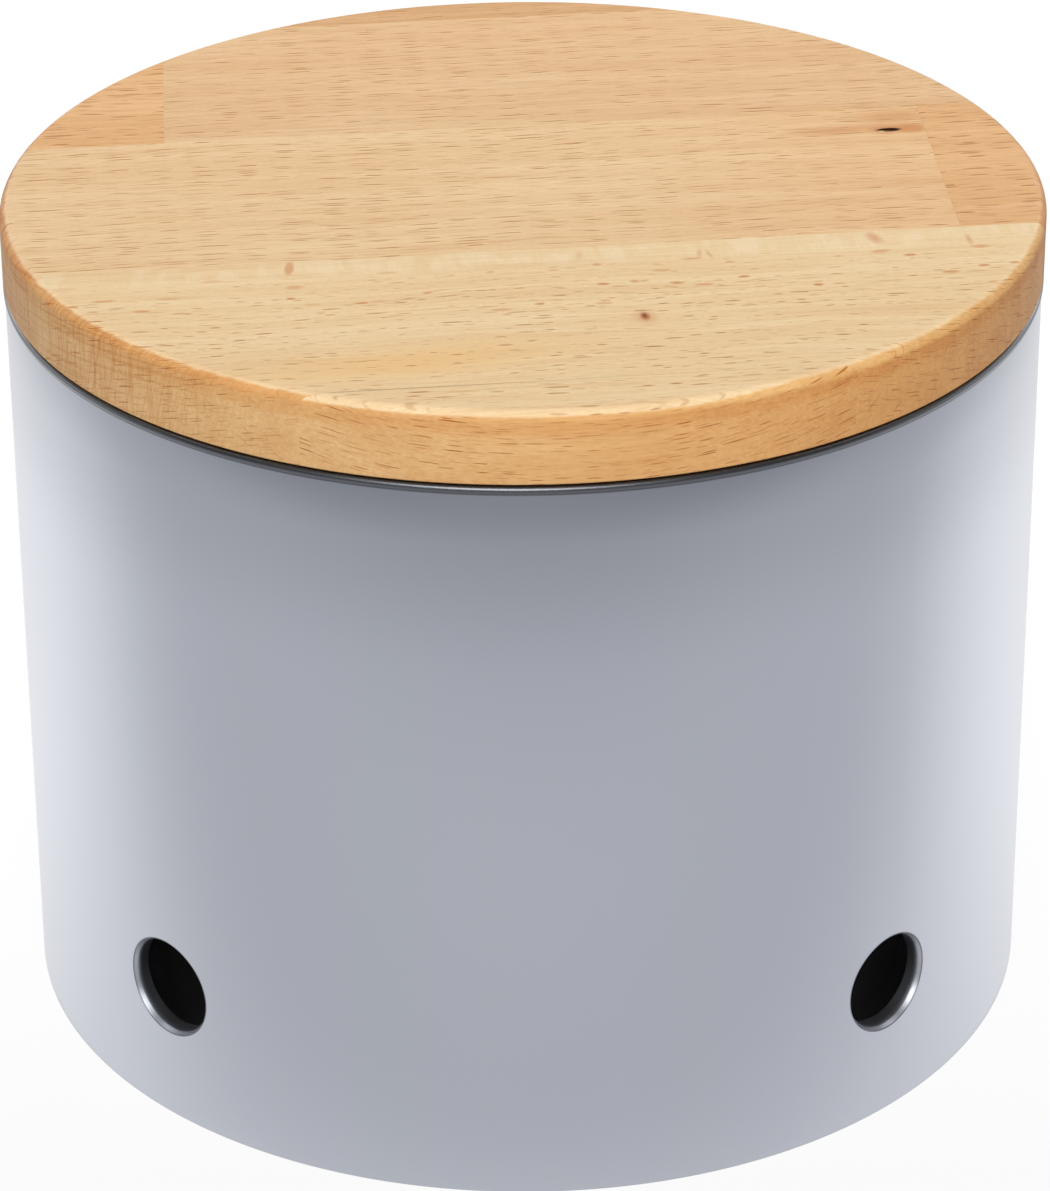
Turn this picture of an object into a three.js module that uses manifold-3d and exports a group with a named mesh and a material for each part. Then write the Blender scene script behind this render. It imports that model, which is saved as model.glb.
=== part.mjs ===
// Garlic keeper: a round sheet-steel pot with four vents, closed by a lift-off beech lid.
// Millimetres, +Z up. The origin is the centre of the underside, and the front looks to -Y.

import * as THREE from 'three';
import { mergeVertices } from 'three/addons/utils/BufferGeometryUtils.js';
import Module from 'manifold-3d';

// Driving dimensions of the pot
const potRadius = 65;
const rimHeight = 97.1;
const sheetThickness = 0.5;
const curlBore = 0.1;
const curlStandOut = 0.22;

// Driving dimensions of the pressed base
const baseThickness = 0.6;
const skirtHeight = 3;
const skirtBend = 1.2;
const panelRadius = 50;
const panelRise = 1.2;
const panelSlope = 2;

// Driving dimensions of the vents
const ventTurn = 43.8;
const ventHeight = 18.7;
const ventRadius = 6.6;
const ventRoll = 0.6;
const ventDepth = 2.5;

// Driving dimensions of the lid board and the step turned below it
const lidOverhang = 0.2;
const boardThickness = 9.15;
const boardTopRound = 1.4;
const boardLowerEdge = 0.5;
const stepDepth = 9;
const stepClearance = 1.9;
const stepChamfer = 0.8;

// Driving dimensions of the seal and its groove
const grooveDrop = 2.6;
const grooveWidth = 4;
const grooveDepth = 2.2;
const sealEase = 0.15;
const finThickness = 0.8;

// How the board is glued up: the staves lie turned by this angle, the lines between them and
// the butt joints within two of them stand at these shares of the lid's radius
const staveTurn = 6.5;
const glueLineShares = [-0.867, -0.296, 0.307, 0.894];
const middleButtShare = 0.808;
const rearButtShare = -0.656;
const buttSlant = 2.8;
const glueGap = 0.2;

// Room between two pieces that lie against each other, and how far every cut runs past
const pieceGap = 0.3;
const cutOverrun = 5;

// Fineness of the round forms
const potSides = 96;
const lidSides = 96;
const sealSides = 72;
const ventSides = 32;
const smallArcSteps = 4;
const curlArcSteps = 8;
const boardArcSteps = 5;

// Sizes that follow from them
const wallInside = potRadius - sheetThickness;
const curlRadius = sheetThickness + curlBore / 2;
const curlCentreRadius = potRadius + curlStandOut - curlRadius;
const curlCentreHeight = rimHeight - curlRadius;
const curlInside = curlCentreRadius - curlRadius;
const baseRadius = wallInside - pieceGap;
const lidRadius = potRadius + lidOverhang;
const boardBottom = rimHeight + pieceGap;
const boardTop = boardBottom + boardThickness;
const stepRadius = wallInside - stepClearance;
const stepBottom = boardBottom - stepDepth;
const grooveTop = boardBottom - grooveDrop;
const grooveBottom = grooveTop - grooveWidth;
const grooveFloor = stepRadius - grooveDepth;
const sealReach = curlInside - pieceGap;

const wasm = await Module();
wasm.setup();

// Solid of a closed geometry: only its places are kept, and shared corners are merged
function solidOf(geometry) {
  const bare = geometry.clone();
  bare.deleteAttribute('normal');
  bare.deleteAttribute('uv');
  const merged = mergeVertices(bare);
  const corners = merged.index.array;
  const kept = [];
  for (let i = 0; i < corners.length; i += 3) {
    const [a, b, c] = [corners[i], corners[i + 1], corners[i + 2]];
    if (a !== b && b !== c && c !== a) kept.push(a, b, c);
  }
  return new wasm.Manifold(new wasm.Mesh({
    numProp: 3,
    vertProperties: new Float32Array(merged.attributes.position.array),
    triVerts: new Uint32Array(kept),
  }));
}

// Geometry of a solid, ready for a mesh
function geometryOf(solid) {
  const mesh = solid.getMesh();
  const geometry = new THREE.BufferGeometry();
  geometry.setAttribute('position', new THREE.BufferAttribute(mesh.vertProperties, mesh.numProp));
  geometry.setIndex(new THREE.BufferAttribute(mesh.triVerts, 1));
  geometry.computeVertexNormals();
  return geometry;
}

// Form turned about +Z from [radius, height] points that run up its outside
function turned(points, sides) {
  const profile = points.map(([radius, height]) => new THREE.Vector2(radius, height));
  return new THREE.LatheGeometry(profile, sides).rotateX(Math.PI / 2);
}

// Points of an arc from one angle to another, in degrees, both ends included
function arc(centre, middle, radius, from, to, steps) {
  return Array.from({ length: steps + 1 }, (_, i) => {
    const angle = THREE.MathUtils.degToRad(from + (to - from) * i / steps);
    return [centre + radius * Math.cos(angle), middle + radius * Math.sin(angle)];
  });
}

// Turns a form from standing on +Z to pointing out of the wall at an angle from the front
function pointOutwards(geometry, angle) {
  return geometry.rotateX(Math.PI / 2).rotateZ(THREE.MathUtils.degToRad(angle));
}

// Angle at which the curl meets a wall face, counted from its lowest point
function curlMeets(faceRadius) {
  return THREE.MathUtils.radToDeg(Math.asin((faceRadius - curlCentreRadius) / curlRadius));
}

// Rolled wall with its top edge curled outwards into a bead
function wallShell() {
  const outerAngle = curlMeets(potRadius) - 90;
  const innerAngle = curlMeets(wallInside) - 90;
  return solidOf(turned([
    [wallInside, 0],
    [potRadius, 0],
    ...arc(curlCentreRadius, curlCentreHeight, curlRadius, outerAngle, innerAngle + 360, curlArcSteps),
    [wallInside, 0],
  ], potSides));
}

// Angles of the four vents, counted from the front
function ventAngles() {
  return [-ventTurn, ventTurn, 180 - ventTurn, 180 + ventTurn];
}

// Plug that the collar of a vent is bored from; its top ends within the sheet
function ventPlug(angle) {
  const radius = ventRadius - ventRoll + sheetThickness;
  const length = ventDepth + cutOverrun;
  const plug = new THREE.CylinderGeometry(radius, radius, length, ventSides).rotateX(Math.PI / 2);
  plug.translate(0, 0, potRadius - ventDepth + length / 2);
  pointOutwards(plug, angle).translate(0, 0, ventHeight);
  const middleOfSheet = potRadius - sheetThickness / 2;
  const core = new THREE.CylinderGeometry(middleOfSheet, middleOfSheet, rimHeight, potSides);
  core.rotateX(Math.PI / 2).translate(0, 0, rimHeight / 2);
  return solidOf(plug).intersect(solidOf(core));
}

// Bore of a vent, flared where the sheet rolls in; the flare starts where the wall falls away
// to the sides of the hole
function ventBore(angle) {
  const fall = potRadius - Math.sqrt(potRadius ** 2 - ventRadius ** 2);
  const start = potRadius - fall;
  const bore = turned([
    [0, potRadius - ventDepth - cutOverrun],
    [ventRadius - ventRoll, potRadius - ventDepth - cutOverrun],
    ...arc(ventRadius, start - ventRoll, ventRoll, 180, 90, smallArcSteps),
    [ventRadius, potRadius + cutOverrun],
    [0, potRadius + cutOverrun],
  ], ventSides);
  return solidOf(pointOutwards(bore, angle).translate(0, 0, ventHeight));
}

// Wall of the pot: the shell, with four flanged vents turned inwards
function potWall() {
  return ventAngles().reduce(
    (wall, angle) => wall.add(ventPlug(angle)).subtract(ventBore(angle)),
    wallShell(),
  );
}

// Base of the pot: a shallow pan with a turned-up skirt and a raised middle
function potBase() {
  const bendCentre = baseRadius - skirtBend;
  const innerBend = skirtBend - baseThickness;
  const panelFoot = panelRadius + panelSlope;
  return solidOf(turned([
    [0, panelRise],
    [panelRadius, panelRise],
    [panelFoot, 0],
    ...arc(bendCentre, skirtBend, skirtBend, -90, 0, smallArcSteps),
    [baseRadius, skirtHeight],
    [baseRadius - baseThickness, skirtHeight],
    ...arc(bendCentre, skirtBend, innerBend, 0, -90, smallArcSteps),
    [panelFoot, baseThickness],
    [panelRadius, panelRise + baseThickness],
    [0, panelRise + baseThickness],
  ], potSides));
}

// The whole lid as it leaves the lathe: a board with a rounded top edge, and a step below it
// with the groove for the seal
function lidTurning() {
  return solidOf(turned([
    [0, stepBottom],
    [stepRadius - stepChamfer, stepBottom],
    [stepRadius, stepBottom + stepChamfer],
    [stepRadius, grooveBottom],
    [grooveFloor, grooveBottom],
    [grooveFloor, grooveTop],
    [stepRadius, grooveTop],
    [stepRadius, boardBottom],
    [lidRadius - boardLowerEdge, boardBottom],
    [lidRadius, boardBottom + boardLowerEdge],
    ...arc(lidRadius - boardTopRound, boardTop - boardTopRound, boardTopRound, 0, 90, boardArcSteps),
    [0, boardTop],
  ], lidSides));
}

// One stave of the turned lid. front and back are the shares at which its glue lines lie, left
// and right those of its butt joints; an end without a joint runs on to the lid's edge
function stave(lid, { front, back, left, right }) {
  const beyond = lidRadius + cutOverrun;
  const halfGap = glueGap / 2;
  const low = front === undefined ? -beyond : front * lidRadius + halfGap;
  const high = back === undefined ? beyond : back * lidRadius - halfGap;
  const slope = Math.tan(THREE.MathUtils.degToRad(buttSlant));
  const edge = (share, side, along) => {
    if (share === undefined) return side * beyond;
    return share * lidRadius - side * halfGap + (along - (low + high) / 2) * slope;
  };
  const outline = new THREE.Shape([
    new THREE.Vector2(edge(left, -1, low), low),
    new THREE.Vector2(edge(right, 1, low), low),
    new THREE.Vector2(edge(right, 1, high), high),
    new THREE.Vector2(edge(left, -1, high), high),
  ]);
  const depth = boardTop - stepBottom + 2 * cutOverrun;
  const blank = new THREE.ExtrudeGeometry(outline, { depth, bevelEnabled: false });
  return lid.intersect(solidOf(blank.translate(0, 0, stepBottom - cutOverrun)));
}

// Ring seal: a band that sits in the groove, with two fins towards the wall
function sealRing() {
  const low = grooveBottom + sealEase;
  const high = grooveTop - sealEase;
  const inside = grooveFloor + sealEase;
  const finLowest = low + finThickness;
  const finHighest = high - finThickness;
  return solidOf(turned([
    [inside, low],
    [stepRadius, low],
    [sealReach, low],
    [sealReach, finLowest],
    [stepRadius, finLowest],
    [stepRadius, finHighest],
    [sealReach, finHighest],
    [sealReach, high],
    [inside, high],
    [inside, low],
  ], sealSides));
}

// Surfaces
const satinSteel = { color: 0x9ba1ad, roughness: 0.38, metalness: 0.9 };
const paleBeech = { color: 0xeacd9f, roughness: 0.55, metalness: 0 };
const pinkBeech = { color: 0xe6c08f, roughness: 0.55, metalness: 0 };
const amberBeech = { color: 0xdfae76, roughness: 0.55, metalness: 0 };
const clearSilicone = { color: 0xe3e4e0, roughness: 0.45, metalness: 0 };

function piece(name, solid, surface) {
  const mesh = new THREE.Mesh(geometryOf(solid), new THREE.MeshStandardMaterial(surface));
  mesh.name = name;
  return mesh;
}

// The pot stands on the origin
const pot = new THREE.Group();
pot.add(piece('pot_wall', potWall(), satinSteel));
pot.add(piece('pot_base', potBase(), satinSteel));

// The lid lies on the rim, with its staves turned against the front
const lid = new THREE.Group();
const turning = lidTurning();
const [frontLine, middleLine, rearLine, backLine] = glueLineShares;
const staves = [
  ['lid_stave_front_edge', paleBeech, { back: frontLine }],
  ['lid_stave_front', paleBeech, { front: frontLine, back: middleLine }],
  ['lid_stave_middle_long', pinkBeech, { front: middleLine, back: rearLine, right: middleButtShare }],
  ['lid_stave_middle_short', amberBeech, { front: middleLine, back: rearLine, left: middleButtShare }],
  ['lid_stave_rear_long', pinkBeech, { front: rearLine, back: backLine, left: rearButtShare }],
  ['lid_stave_rear_short', amberBeech, { front: rearLine, back: backLine, right: rearButtShare }],
  ['lid_stave_back_edge', pinkBeech, { front: backLine }],
];
for (const [name, surface, place] of staves) {
  lid.add(piece(name, stave(turning, place), surface));
}
lid.add(piece('lid_seal_ring', sealRing(), clearSilicone));
lid.rotation.z = THREE.MathUtils.degToRad(staveTurn);

const garlicKeeper = new THREE.Group();
garlicKeeper.add(pot, lid);

export default garlicKeeper;
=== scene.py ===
"""Looks of a vented garlic keeper: a satin steel pot with a flat glued beech lid.

Laid out as an add-on and run as a script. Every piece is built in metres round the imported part.
"""

import math

import bmesh
import bpy
from mathutils import Matrix, Vector


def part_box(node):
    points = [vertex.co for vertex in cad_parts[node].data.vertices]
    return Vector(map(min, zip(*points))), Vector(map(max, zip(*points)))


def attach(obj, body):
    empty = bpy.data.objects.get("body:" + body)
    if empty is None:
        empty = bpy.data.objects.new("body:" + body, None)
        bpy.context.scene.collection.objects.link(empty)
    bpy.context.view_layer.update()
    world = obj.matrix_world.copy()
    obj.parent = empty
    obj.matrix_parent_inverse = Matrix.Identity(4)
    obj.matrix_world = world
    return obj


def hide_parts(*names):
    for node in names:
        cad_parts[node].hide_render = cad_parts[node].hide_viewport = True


bl_info = {
    "name": "Garlic keeper",
    "version": (1, 0, 0),
    "blender": (4, 5, 0),
    "location": "3D View > Sidebar > Garlic keeper",
    "description": "Vented steel garlic keeper with a beech lid, its finishes and its stage",
    "category": "Add Mesh",
}

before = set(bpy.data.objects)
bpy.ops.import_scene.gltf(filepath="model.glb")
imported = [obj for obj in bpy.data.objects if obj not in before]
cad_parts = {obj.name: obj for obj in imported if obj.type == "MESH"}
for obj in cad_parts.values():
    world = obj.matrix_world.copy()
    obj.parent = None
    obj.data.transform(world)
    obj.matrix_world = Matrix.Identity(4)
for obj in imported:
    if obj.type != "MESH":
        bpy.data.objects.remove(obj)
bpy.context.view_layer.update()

MM = 0.001
ORIGIN = (0, 0, 0)

# The photograph's frame in pixels, and the camera that gives its outlines, in metres and degrees
FRAME_TALL = 1191
SENSOR = 36
FOCAL_PIXELS = 4917.12
CAMERA_PLACE = (0, -0.56672, 0.34801)
CAMERA_DOWN = 27.831
CAMERA_TURN = -0.006
CAMERA_ROLL = -0.386


def linear(code):
    """Linear colour with full alpha of an sRGB hex value such as #E6C08F."""
    shares = [int(code[i : i + 2], 16) / 255 for i in (1, 3, 5)]
    return [s / 12.92 if s <= 0.04045 else ((s + 0.055) / 1.055) ** 2.4 for s in shares] + [1]


def length(name, text, value):
    """Length property; its default is given in millimetres."""
    return bpy.props.FloatProperty(
        name=name,
        description=text,
        default=value * MM,
        precision=5,
        subtype="DISTANCE",
        unit="LENGTH",
    )


def turn(name, text, value):
    """Angle property; its default is given in degrees."""
    return bpy.props.FloatProperty(
        name=name, description=text, default=math.radians(value), subtype="ANGLE", unit="ROTATION"
    )


def colour(name, text, code):
    """Colour property; its default is given as an sRGB hex value."""
    return bpy.props.FloatVectorProperty(
        name=name, description=text, default=linear(code), size=4, min=0, max=1, subtype="COLOR"
    )


def share(name, text, value):
    """Share property from nought to one."""
    return bpy.props.FloatProperty(
        name=name, description=text, default=value, min=0, max=1, subtype="FACTOR"
    )


def power(name, text, value):
    """Lamp power property, in watts."""
    return bpy.props.FloatProperty(
        name=name, description=text, default=value, min=0, subtype="POWER", unit="POWER"
    )


class PotSizes(bpy.types.PropertyGroup):
    """Sizes of the sheet-steel pot."""

    radius: length("Radius", "Outer radius of the wall", 65)
    rim: length("Rim height", "Height of the top of the curled rim", 97.08)
    sheet: length("Sheet", "Thickness of the wall's sheet", 0.5)
    bead: length("Bead radius", "Outer radius of the curl at the rim", 0.55)
    stand_out: length("Bead stand-out", "How far the bead stands out from the wall", 0.19)
    curl_end: turn("Curl end", "Where the curl ends, from straight out", -62)
    neck: length("Neck", "Height over which the wall draws in below the bead", 0.5)
    base: length("Base sheet", "Thickness of the pressed base", 0.6)
    base_room: length("Base room", "Room between the base's skirt and the wall", 0.3)
    skirt: length("Skirt", "Height of the base's turned-up skirt", 3)
    bend: length("Skirt bend", "Outer radius of the bend between base and skirt", 1.2)
    panel: length("Panel radius", "Radius of the raised middle of the base", 50)
    rise: length("Panel rise", "How far the middle of the base is raised", 1.2)
    slope: length("Panel slope", "Width of the slope round the raised middle", 2)


class VentSizes(bpy.types.PropertyGroup):
    """Sizes of the flanged vents."""

    turn: turn("Turn", "Angle of each vent from the front or the back", 43.8)
    height: length("Height", "Height of the vents' centres", 18.7)
    radius: length("Radius", "Radius of the mouth in the wall's face", 6.6)
    throat: length("Throat", "Radius of the straight collar behind the mouth", 6.27)
    mouth: length("Mouth", "Depth of the tapering mouth", 0.75)
    depth: length("Depth", "Depth of the collar behind the wall's face", 2.5)
    edge: length("Edge", "Rounding of the sheet's cut edges", 0.07)


class LidSizes(bpy.types.PropertyGroup):
    """Sizes of the beech lid and of the staves it is glued from."""

    radius: length("Radius", "Radius of the board", 65.18)
    underside: length("Underside", "Height of the board's underside", 97.36)
    thickness: length("Thickness", "Thickness of the board", 9.17)
    top_round: length("Top round", "Radius of the rounded top edge", 1.4)
    lower_round: length("Lower round", "Radius of the eased lower edge", 0.3)
    step: length("Step", "Depth of the step turned below the board", 9)
    step_radius: length("Step radius", "Radius of the step", 62.6)
    chamfer: length("Chamfer", "Chamfer round the foot of the step", 0.8)
    groove_drop: length("Groove drop", "From the board's underside down to the groove", 2.6)
    groove_width: length("Groove width", "Width of the seal's groove", 4)
    groove_depth: length("Groove depth", "Depth of the seal's groove", 2.2)
    glue_gap: length("Glue line", "Width of the line between two staves", 0.02)
    turn: turn("Stave turn", "How far the staves lie turned against the front", 6.5)
    butt_slant: turn("Butt slant", "How far the butt joints lean", 2.8)


class SealSizes(bpy.types.PropertyGroup):
    """Sizes and tone of the seal ring."""

    ease: length("Ease", "Room between the ring and its groove", 0.15)
    reach: length("Reach", "Radius of the fins' tips", 63.82)
    root: length("Fin root", "Thickness of a fin at its root", 0.8)
    tip: length("Fin tip", "Thickness of a fin at its tip", 0.36)
    sunk: length("Sunk", "How far the ring's band lies behind the step", 0.5)
    tone: colour("Tone", "Milky silicone", "#E3E4E0")


class SteelLook(bpy.types.PropertyGroup):
    """Finish of the steel, and the shade painted on it."""

    cool: colour("Cool bands", "Cooler bands left by rolling", "#E7EDF5")
    mauve: colour("Mauve bands", "Warmer bands left by rolling", "#ECEDF8")
    # the rim, neck, inside, mouth, collar and mouth line tones are painted shade
    rim: share("Rim tone", "How much of the light the darker rim gives back", 0.28)
    neck: share("Neck tone", "How much of the light the sheet gives back under the rim", 0.85)
    inside: share("Inside tone", "How much of the light the bare inside gives back", 0.55)
    mouth: share("Mouth tone", "How much of the light the vents' mouths give back", 0.85)
    collar: share("Collar tone", "How much of the light the vents' collars give back", 0.42)
    line: share("Mouth line", "Depth of tone of the line round the vents' mouths", 0.6)
    roughness: share("Roughness", "Satin roughness of the face", 0.36)
    inside_dull: share("Inside dullness", "How much rougher the bare inside is", 0.12)
    vent_dull: share("Vent dullness", "How much rougher the vents' mouths are", 0.1)
    coat: share("Lacquer", "Weight of the clear lacquer", 0.8)


class BeechLook(bpy.types.PropertyGroup):
    """Tones of the oiled beech, and the highlight and shade painted on it."""

    pale: colour("Pale", "Sapwood staves at the front", "#F1D9AF")
    pink: colour("Pink", "Steamed staves in the middle and at the back", "#EED1A7")
    tan: colour("Tan", "Darker ends of the middle staves", "#EDCA9C")
    rear: colour("Rear", "Long stave at the rear", "#E8C79D")
    amber: colour("Amber", "Short staves by the butt joints", "#E9BE8C")
    back: colour("Back", "Stave at the back edge", "#DCB384")
    fleck: colour("Fleck", "Ray flecks", "#B0702F")
    # painted highlight: the pale line beside each ray fleck
    fleck_highlight: colour("Fleck side", "Pale line beside each ray fleck", "#F6E2C4")
    honey: colour("Honey", "Honey-coloured band near the front", "#E9BE80")
    stain: colour("Stain", "Orange-brown stains round knots", "#C97F43")
    heart: colour("Heart", "Red-brown wood of the small knot", "#9A4A1C")
    knot: colour("Knot", "Dead middles of the knots", "#24160E")
    oil: colour("Oil", "Tint of the side on the left, where the oil sinks in", "#F4E3CC")
    amber_oil: colour("Amber oil", "Tint of the side on the right", "#F4CFA4")
    edge_oil: colour("Edge oil", "Tint of the rounded edge on the left", "#ECCDA8")
    golden_oil: colour("Golden oil", "Tint of the rounded edge on the right", "#F7DEB8")
    # painted shade: the darker band under the rounded edge
    band: colour("Band", "Tint of the darker band under the rounded edge", "#FAF0E2")
    end: colour("End lines", "Tint of the lines on the end grain", "#F4E8D9")
    roughness: share("Roughness", "Roughness of the oiled wood", 0.55)


class StageLook(bpy.types.PropertyGroup):
    """Light and floor of the studio."""

    floor: colour("Floor", "Plain pale floor", "#FBFBFB")
    # painted shade: the grey of the floor well in front of the pot
    near: colour("Near floor", "Floor well in front of the pot", "#83858B")
    white: share("White floor", "How far the camera sees the floor as white", 0.92)
    glow: share("Floor glow", "How far the metal sees the floor as evenly lit", 1.0)
    high: share("High room", "Grey of the room above and in front of the white backdrop", 0.06)
    room: share("Room light", "Strength of the light from all round", 0.33)
    front: power("Front lamp", "Power of the large lamp in front", 5.6)
    sheen: power("Sheen lamp", "Power of the wide lamp in front that the metal shows", 7.0)
    back: power("Back lamps", "Power of each low lamp at the back", 0.6)
    side: power("Side lamps", "Power of each lamp that lights the floor beside the pot", 0.3)
    far: power("Far lamp", "Power of the lamp that lights the floor behind the pot", 1.0)


# ---------------------------------------------------------------------------------------------
# Modelling by hand

# How near two places have to be to count as one, in metres
SAME = 1e-6


def only(obj):
    """Leaves edit mode and selects this object alone."""
    if bpy.context.object and bpy.context.object.mode != "OBJECT":
        bpy.ops.object.mode_set(mode="OBJECT")
    bpy.ops.object.select_all(action="DESELECT")
    if obj:
        obj.select_set(True)
        bpy.context.view_layer.objects.active = obj


def begin(name):
    """Names the primitive just added, puts its place into its mesh and opens it for editing."""
    obj = bpy.context.object
    obj.name = obj.data.name = name
    bpy.ops.object.transform_apply(location=True, rotation=True, scale=True)
    bpy.ops.object.mode_set(mode="EDIT")
    bpy.ops.mesh.select_mode(type="EDGE")
    bpy.ops.mesh.select_all(action="SELECT")
    return obj


def pick(obj, kind, test):
    """In edit mode, selects only the verts, edges or faces that pass the test, by their middle."""
    bpy.ops.mesh.select_all(action="DESELECT")
    bpy.ops.mesh.select_mode(type=kind)
    mesh = bmesh.from_edit_mesh(obj.data)
    found = 0
    for item in {"VERT": mesh.verts, "EDGE": mesh.edges, "FACE": mesh.faces}[kind]:
        corners = [item] if kind == "VERT" else item.verts
        if test(item, sum((v.co for v in corners), Vector()) / len(corners)):
            item.select_set(True)
            found += 1
    bmesh.update_edit_mesh(obj.data)
    if not found:
        raise RuntimeError(f"{obj.name}: nothing was selected")


def draw_out(x, y, z):
    """Extrudes what is selected by this much."""
    bpy.ops.mesh.extrude_region_move(TRANSFORM_OT_translate={"value": (x, y, z)})


def spin_up(name, rings, sides, capped):
    """Turned piece: a circle drawn from ring to ring of [radius, height], capped or joined up."""
    only(None)
    radius, height = rings[0]
    bpy.ops.mesh.primitive_circle_add(vertices=sides, radius=radius, location=(0, 0, height))
    obj = begin(name)
    for (radius, height), (next_radius, next_height) in zip(rings, rings[1:]):
        draw_out(0, 0, next_height - height)
        growth = next_radius / radius
        bpy.ops.transform.resize(value=(growth, growth, 1), center_override=ORIGIN)
    if capped:
        for radius, height in (rings[0], rings[-1]):
            pick(obj, "EDGE", lambda edge, co: edge.is_boundary and abs(co.z - height) < SAME)
            bpy.ops.mesh.edge_face_add()
    bpy.ops.mesh.select_all(action="SELECT")
    bpy.ops.mesh.remove_doubles(threshold=SAME)
    bpy.ops.mesh.normals_make_consistent(inside=False)
    only(obj)
    return obj


def bow(centre, middle, radius, first, last, steps):
    """Points of an arc, both ends included; angles in degrees, from +radius up to +height."""
    angles = [math.radians(first + (last - first) * i / steps) for i in range(steps + 1)]
    return [(centre + radius * math.cos(a), middle + radius * math.sin(a)) for a in angles]


def apply_modifier(obj, kind, **settings):
    """Adds a modifier with its settings and applies it."""
    only(obj)
    bpy.ops.object.modifier_add(type=kind)
    modifier = obj.modifiers[-1]
    for name, value in settings.items():
        setattr(modifier, name, value)
    bpy.ops.object.modifier_apply(modifier=modifier.name)


def hand_over(obj, sharp, body, node_name, material):
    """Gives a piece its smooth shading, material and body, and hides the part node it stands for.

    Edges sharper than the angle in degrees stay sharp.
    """
    only(obj)
    bpy.ops.object.shade_smooth_by_angle(angle=math.radians(sharp))
    obj.data.materials.clear()
    obj.data.materials.append(material)
    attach(obj, body)
    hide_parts(node_name)
    only(None)


# ---------------------------------------------------------------------------------------------
# Finishes

# Settings that many nodes share
SOFT = {"interpolation_type": "SMOOTHSTEP"}
TINT = {"data_type": "RGBA", "blend_type": "MULTIPLY"}

# Streaks along the grain of the beech: cell in mm, detail, darkest tint and share
STREAKS = [
    ((60, 3.2, 4), 3, "#EEDCC8", 0.55),
    ((14, 0.5, 0.6), 2, "#EEDCC6", 0.4),
    ((30, 0.17, 0.3), 1, "#E6CDAE", 0.35),
    ((0.8, 0.4, 0.5), 2, "#F0E0CC", 0.3),
]
# Silky patches where the sawn face runs along the rays, the rays' figure with a painted sheen: cell
# in mm, tint and share
SILK = [((3, 6, 6), "#F3E1C0", 0.32), ((0.5, 9, 9), "#E2C795", 0.3)]
# Lines of the rays and of the growth rings on the end grain: cell in mm and lean in degrees
END_LINES = [((20, 0.3, 20), 0), ((20, 0.2, 20), 12), ((20, 20, 0.22), -8)]
# From where to where along a stave, in mm, the oil's start on the rounded edge changes, and the
# shares of the edge's height at which it lies before and after; most staves have one height
OIL_START = (0, 1, 0.85, 0.85)


def node(tree, kind, inputs=(), out=0, **settings):
    """Adds a shader node with its settings; gives back one output, or the node if out is None.

    The inputs are values or sockets, in order or by name or number.
    """
    made = tree.nodes.new("ShaderNode" + kind)
    for name, value in settings.items():
        setattr(made, name, value)
    for key, value in inputs.items() if isinstance(inputs, dict) else enumerate(inputs):
        if isinstance(value, bpy.types.NodeSocket):
            tree.links.new(value, made.inputs[key])
        else:
            made.inputs[key].default_value = value
    return made if out is None else made.outputs[out]


def new_finish(name):
    """Empty node material and its tree."""
    material = bpy.data.materials.new(name)
    material.use_nodes = True
    material.node_tree.nodes.clear()
    return material, material.node_tree


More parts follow.
